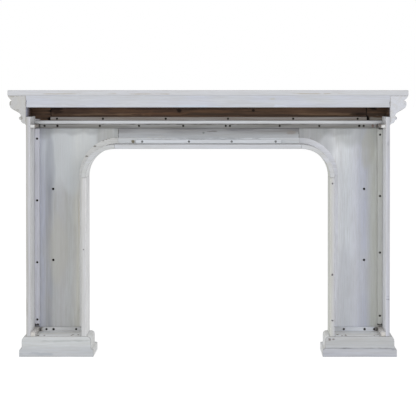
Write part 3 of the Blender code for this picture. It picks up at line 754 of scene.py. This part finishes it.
# Short batten over the opening, screwed through its rear face at four places. Its wash is thick
# and clean, so it is the brightest strip behind the lintel, and it runs over the screw heads.
LINTEL_SCREWS = (0.335, 0.099, -0.117, -0.339)
WASHED_STEEL = screw_steel("steel dulled by wash", "#5d5f61", "#8b8d90", 0.4)
node = "lintel_batten"
low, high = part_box(node)
middle = (low.z + high.z) / 2
places = [(x, middle) for x in LINTEL_SCREWS]
board = planed_copy(node, ALONG_X, (
    whitewashed_softwood(node, ALONG_X, "#e3e7ed", "#dde1e6", dirt_and_shade=0.0, rubbed=0.1),
    washed_end_grain(node, "#e3e7ec", ALONG_X)))
drill(board, places, high.y, COUNTERSINK)
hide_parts(node)
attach(board, "root")
screws = drive_screws("screws_lintel_batten", places, high.y, WASHED_STEEL)
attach(screws, "root")

# Deck: a narrow board that closes the top of the front boards. Its rear edge took plenty of wash
# and shows as one bright line from leg to leg.
node = "deck_board"
board = planed_copy(node, ALONG_X, (
    whitewashed_softwood(node, ALONG_X, "#dfe2e6", "#d9dcde"),
    washed_end_grain(node, "#c6c9cb", ALONG_X)))
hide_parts(node)
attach(board, "root")

# Strip on the deck and batten under it, both sawn softwood rubbed over with what was left on the
# brush: grey rather than white, and warmer on the upper one. Screws and two bolts go in. A dark band
# along the batten's upper edge is painted shadow of the deck, and two drips of brown stain ran down
# it near its end.
CLEAT_SCREWS = (0.767, 0.535, 0.217, -0.098, -0.428, -0.754)
BATTEN_SCREWS = (0.828, 0.549, 0.351, 0.128, -0.087, -0.108, -0.359, -0.559, -0.783)
BATTEN_BOLTS = (0.763, -0.761)
STAIN_DRIPS = (((-0.829, 1.141), (0.006, 0.012)), ((-0.851, 1.142), (0.005, 0.012)))
for node, wash, patch, screw_places in (
        ("deck_cleat", "#8f8780", "#88807a", CLEAT_SCREWS),
        ("top_batten", "#737371", "#797a76", BATTEN_SCREWS)):
    low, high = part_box(node)
    middle = (low.z + high.z) / 2
    places = [(x, middle) for x in screw_places]
    marks = []
    if node == "top_batten":
        # Painted shadow of the deck along the batten's upper edge.
        marks.append(((0, high.y, high.z), (0.55, 0.01, 0.0045), "#4d4d4b", 0.65))
        for (x, z), (wide, tall) in STAIN_DRIPS:
            marks.append(((x, high.y, z), (wide, 0.01, tall), "#6a4f47", 0.8))
    board = planed_copy(node, ALONG_X, (
        whitewashed_softwood(node, ALONG_X, wash, patch, spots=marks),
        washed_end_grain(node, patch, ALONG_X)))
    drill(board, places, high.y, COUNTERSINK)
    if node == "top_batten":
        drill(board, [(x, middle) for x in BATTEN_BOLTS], high.y, BOLT_HOLE)
    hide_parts(node)
    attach(board, "root")
    screws = drive_screws("screws_" + node, places, high.y)
    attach(screws, "root")

# Backing of the crown: three boards end to end in dark brown bare wood, dusty, with a paler
# streak of sapwood low down, knots, and black where the end joints stand open.
BACKING_DARK = "#54453b"
BACKING_LIGHT = "#7c614d"
SAPWOOD = "#91775f"
RED_HEART = "#7f6049"
KNOT_BLACK = "#231a16"
SEAM_BLACK = "#120d0a"
DUSTY_STRETCH = 6
SAWN_STRETCH = 30
BACKING_JOINTS = (-0.8, 0.8)


def bare_brown_softwood(name, grain, streaks=(), spray=None):
    """Old brown sawn softwood with no wash: dark and dusty, with long reddish and black streaks.

    Spray of the wash may lie on it near one edge: (near Y, far Y, share)."""
    material = bpy.data.materials.new("bare brown softwood " + name)
    material.use_nodes = True
    tree = material.node_tree
    shader = tree.nodes["Principled BSDF"]
    cloudy = grain_space(tree, name, grain, DUSTY_STRETCH)
    fibrous = grain_space(tree, name, grain, SAWN_STRETCH)
    ragged = figure(tree, cloudy, 0.012, 0.3, 0.7, 1.0, 4.0)
    broad = figure(tree, fibrous, 0.011, 0.35, 0.65, 0.85, 3.0)
    fine = figure(tree, fibrous, 0.0028, 0.35, 0.65, 0.4, 3.0)
    clouds = figure(tree, cloudy, 0.05, 0.4, 0.65, 0.5)
    coats = [(broad, BACKING_LIGHT), (clouds, "#56433c"), (fine, "#352822")]
    for centre, radii, shade, share in streaks:
        coats.append((spot(tree, centre, radii, share, ragged), shade))
    if spray:
        near, far, share = spray
        place = add_node(tree, "TexCoord", {}, {}).outputs["Object"]
        axes = add_node(tree, "SeparateXYZ", {}, {"Vector": place})
        mist = add_node(tree, "MapRange", {"interpolation_type": "SMOOTHSTEP"},
                        {"Value": axes.outputs["Y"], "From Min": far, "From Max": near, "To Max": share})
        coats.append((mist.outputs["Result"], "#c3c5d6"))
    tree.links.new(lay_coats(tree, hex_linear(BACKING_DARK), coats), shader.inputs["Base Color"])
    relief = add_node(tree, "Math", {"operation": "ADD"}, {0: broad, 1: fine})
    bump = add_node(tree, "Bump", {}, {"Height": relief.outputs["Value"], "Strength": 0.4,
                                       "Distance": 0.0008})
    tree.links.new(bump.outputs["Normal"], shader.inputs["Normal"])
    shader.inputs["Roughness"].default_value = 0.85
    shader.inputs["Specular IOR Level"].default_value = 0.2
    return material


for where in ("left", "centre", "right"):
    node = f"crown_backing_{where}"
    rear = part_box(node)[1].y
    streaks = [((0.550, rear, 1.197), (0.24, 0.02, 0.0060), SAPWOOD, 0.50),
               ((0.230, rear, 1.200), (0.16, 0.02, 0.0070), RED_HEART, 0.50),
               ((-0.608, rear, 1.198), (0.15, 0.02, 0.0060), SAPWOOD, 0.45),
               ((-0.020, rear, 1.212), (0.14, 0.02, 0.0080), RED_HEART, 0.45),
               ((0.420, rear, 1.216), (0.16, 0.02, 0.0060), RED_HEART, 0.40),
               ((-0.770, rear, 1.197), (0.04, 0.02, 0.0060), KNOT_BLACK, 0.8),
               ((0.772, rear, 1.215), (0.032, 0.02, 0.020), KNOT_BLACK, 0.6),
               ((0.150, rear, 1.213), (0.016, 0.02, 0.010), KNOT_BLACK, 0.9),
               ((-0.226, rear, 1.217), (0.007, 0.02, 0.006), KNOT_BLACK, 0.9),
               ((-0.833, rear, 1.228), (0.022, 0.02, 0.007), KNOT_BLACK, 0.9),
               ((-0.848, rear, 1.175), (0.042, 0.02, 0.011), "#a8a39b", 0.9)]
    for x in BACKING_JOINTS:
        streaks.append(((x, rear, 1.23), (0.0030, 0.02, 0.09), SEAM_BLACK, 0.9))
        streaks.append(((x * 1.008, rear, 1.175), (0.009, 0.02, 0.014), SEAM_BLACK, 1.0))
    # A near-white patch at the right end: partly the white of the wood there, partly painted light raised
    # against the crown's shade.
    streaks.append(((0.886, rear, 1.168), (0.024, 0.02, 0.012), "#f6f6fa", 1.0))
    board = planed_copy(node, ALONG_X, (
        bare_brown_softwood(node, ALONG_X, streaks), bare_brown_softwood(node + " end", ALONG_X)))
    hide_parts(node)
    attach(board, "root")

# Crown moulding, mitred round the front and both sides. Outside it is washed; inside the wood is
# bare and brown, and spray of the brush reached in from the rear, further on one side.
CROWN_PATCH = "#bebeba"
CROWN_WASH = {"front": "#c2c5c9", "left": "#cfd2da", "right": "#bfc0c1"}
SPRAY = {"left": (0.06, 0.6), "right": (0.20, 0.95)}
CROWN_WEAR = {
    "left": (
        (0.972, 1.254, 0.004, 0.010, "#a3a4a2", 0.7), (0.930, 1.185, 0.006, 0.008, "#a3a4aa", 0.7)),
    "right": (
        (0.976, 1.256, 0.004, 0.010, "#87857e", 0.8), (0.966, 1.289, 0.012, 0.004, "#9b9993", 0.7),
        (0.945, 1.222, 0.014, 0.006, "#a09f9a", 0.7), (0.921, 1.181, 0.007, 0.012, "#93908a", 0.8))}
INNER_FACE = 0.902           # the faces of a return that are nearer the middle than this are bare
node = "crown_front"
board = planed_copy(node, ALONG_X, (
    whitewashed_softwood(node, ALONG_X, CROWN_WASH["front"], CROWN_PATCH),
    washed_end_grain(node, CROWN_WASH["front"], ALONG_X)))
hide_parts(node)
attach(board, "root")
for side, sign in SIDES:
    node = f"crown_return_{side}"
    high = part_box(node)[1]
    reach, share = SPRAY[side]
    wear = []
    for x, z, wide, tall, shade, worn in CROWN_WEAR[side]:
        wear.append(((sign * x, high.y, z), (wide, 0.01, tall), shade, worn))
    board = planed_copy(node, ALONG_Y, (
        whitewashed_softwood(node, ALONG_Y, CROWN_WASH[side], CROWN_PATCH),
        washed_end_grain(node, CROWN_WASH[side], ALONG_Y, wear),
        bare_brown_softwood(node + " inside", ALONG_Y, (), (high.y, high.y - reach, share))))
    for polygon in board.data.polygons:
        if polygon.normal.x * sign < -0.9 and abs(polygon.center.x) < INNER_FACE:
            polygon.material_index = 2
    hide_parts(node)
    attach(board, "root")

# Rail under the shelf at the rear plane, by which the real one is hung. It is a flat board 58 mm
# high, glued under the shelf and butted between the crown's two ends. The wash stands in a thin
# ridge in the joint under the shelf; two pale bands along the rail's lower arris are a painted
# highlight.
RIDGE_WIDTH = 0.0014
RIDGE_HEIGHT = 0.0034
RIDGE_SINK = 0.0010          # its middle, in front of the rail's rear face
RIDGE_END = 0.006            # it stops this far from the outer faces of the crown's returns
node = "rear_rail"
low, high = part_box(node)
marks = [((x, high.y, 1.252), (0.0038, 0.01, 0.020), "#63626c", 0.85) for x in (low.x, high.x)]
marks += [((-0.318, high.y, 1.277), (0.012, 0.01, 0.006), "#b4b4ae", 0.7),
          ((-0.360, high.y, 1.243), (0.030, 0.01, 0.010), "#c7ccd9", 0.7),
          # Painted highlight: two long pale bands along the lower arris.
          ((0.400, high.y, 1.245), (0.330, 0.01, 0.005), "#c8ccd1", 0.6),
          ((0.050, high.y, 1.240), (0.200, 0.01, 0.004), "#bccad8", 0.6)]
rail_wood = whitewashed_softwood(node, ALONG_X, "#bec2cd", "#bfc2c5", spots=marks, dirt_and_shade=0.05, rubbed=0.15)
board = planed_copy(node, ALONG_X, (rail_wood, washed_end_grain(node, "#b4b4b1", ALONG_X)), rub=0.0004)
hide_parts(node)
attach(board, "root")
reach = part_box("crown_return_right")[1].x - RIDGE_END
bpy.ops.mesh.primitive_cube_add(size=1, location=(0, high.y - RIDGE_SINK, high.z))
ridge = bpy.context.object
ridge.name = "wash_in_rail_joint"
ridge.data.name = ridge.name
for vert in ridge.data.vertices:
    vert.co = Vector((vert.co.x * 2 * reach, vert.co.y * RIDGE_WIDTH, vert.co.z * RIDGE_HEIGHT))
ridge.data.materials.append(rail_wood)
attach(ridge, "root")

# Shelf: one board 27 mm thick and 333 mm deep. Thin brown streaks of resin show through the wash
# along its rear edge.
RESIN_STREAKS = ((0.70, 1.302, 0.12), (0.30, 1.301, 0.13), (0.47, 1.303, 0.04), (-0.50, 1.303, 0.12))
node = "shelf_board"
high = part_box(node)[1]
resin = [((x, high.y, z), (reach, 0.01, 0.0024), "#a89f8f", 0.6) for x, z, reach in RESIN_STREAKS]
board = planed_copy(node, ALONG_X, (
    whitewashed_softwood(node, ALONG_X, "#c6c8cc", "#c6c8cf", spots=resin, dirt_and_shade=0.05, rubbed=0.2),
    washed_end_grain(node, "#bfbfbd", ALONG_X)), rub=0.0005)
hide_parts(node)
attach(board, "root")

# Flat boards on the front: one pilaster on each leg and a frieze panel between them, planed with a
# small chamfer, glued on and washed like the rest. The photograph shows nothing of them.
for node, grain in (("pilaster_left", ALONG_Z), ("pilaster_right", ALONG_Z), ("frieze_panel", ALONG_X)):
    board = planed_copy(node, grain, (
        whitewashed_softwood(node, grain, *FRONT_FACE_WASH),
        washed_end_grain(node, "#b6b6b2", grain)))
    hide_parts(node)
    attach(board, "root")

# Studio: a white paper floor under a white sky that lights softly from all round, two large
# softboxes beside the camera and two smaller ones low at the sides, and a long lens nine metres
# behind the mantelpiece, level with its shelf.
FLOOR_SIZE = 240.0
FLOOR_DROP = 0.001
FLOOR_GLOW = 0.70
SKY_SEEN = 1.0
SKY_LIGHT = 0.58             # the sky is seen white, but lights the wood less, as a far backdrop does
SOFTBOXES = (("front", (2.6, 7.5, 2.6), 3.0, 118), ("side", (5.0, 3.6, 1.4), 2.0, 47))
SOFTBOX_AIM = Vector((0, 0, 0.7))
CAMERA_PLACE = (-0.1333, 9.1924, 1.3218)
CAMERA_TILT = math.radians(1.0)
CAMERA_LENS = 158.215
CAMERA_SHIFT = (-0.0648, -0.2075)

bpy.ops.mesh.primitive_grid_add(x_subdivisions=8, y_subdivisions=8, size=FLOOR_SIZE,
                                location=(0, 0, -FLOOR_DROP))
floor = bpy.context.object
floor.name = "floor"
floor.visible_diffuse = False
paper = bpy.data.materials.new("matt white paper")
paper.use_nodes = True
paper_shader = paper.node_tree.nodes["Principled BSDF"]
paper_shader.inputs["Base Color"].default_value = hex_linear("#bcbcbc")
paper_shader.inputs["Roughness"].default_value = 0.9
paper_shader.inputs["Emission Color"].default_value = (1, 1, 1, 1)
paper_shader.inputs["Emission Strength"].default_value = FLOOR_GLOW
floor.data.materials.append(paper)
floor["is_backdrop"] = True

surround = bpy.data.worlds.new("white surround")
surround.use_nodes = True
air = surround.node_tree
ray = add_node(air, "LightPath", {}, {})
sky = add_node(air, "MapRange", {}, {"Value": ray.outputs["Is Camera Ray"], "To Min": SKY_LIGHT,
                                     "To Max": SKY_SEEN})
air.nodes["Background"].inputs["Color"].default_value = (1, 1, 1, 1)
air.links.new(sky.outputs["Result"], air.nodes["Background"].inputs["Strength"])
bpy.context.scene.world = surround

for name, (out, back, up), size, power in SOFTBOXES:
    for side, sign in SIDES:
        softbox_light = bpy.data.lights.new(f"{name} softbox {side}", "AREA")
        softbox_light.energy = power
        softbox_light.size = size
        softbox = bpy.data.objects.new(f"{name} softbox {side}", softbox_light)
        softbox.location = (sign * out, back, up)
        softbox.rotation_euler = (SOFTBOX_AIM - softbox.location).to_track_quat("-Z", "Y").to_euler()
        bpy.context.scene.collection.objects.link(softbox)

lens = bpy.data.cameras.new("camera")
lens.lens = CAMERA_LENS
lens.sensor_width = 36
lens.shift_x, lens.shift_y = CAMERA_SHIFT
camera = bpy.data.objects.new("camera", lens)
camera.location = CAMERA_PLACE
camera.rotation_euler = (math.radians(90) - CAMERA_TILT, 0, math.radians(180))
bpy.context.scene.collection.objects.link(camera)
bpy.context.scene.camera = camera
bpy.context.scene.view_settings.view_transform = "Standard"

low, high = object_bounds()
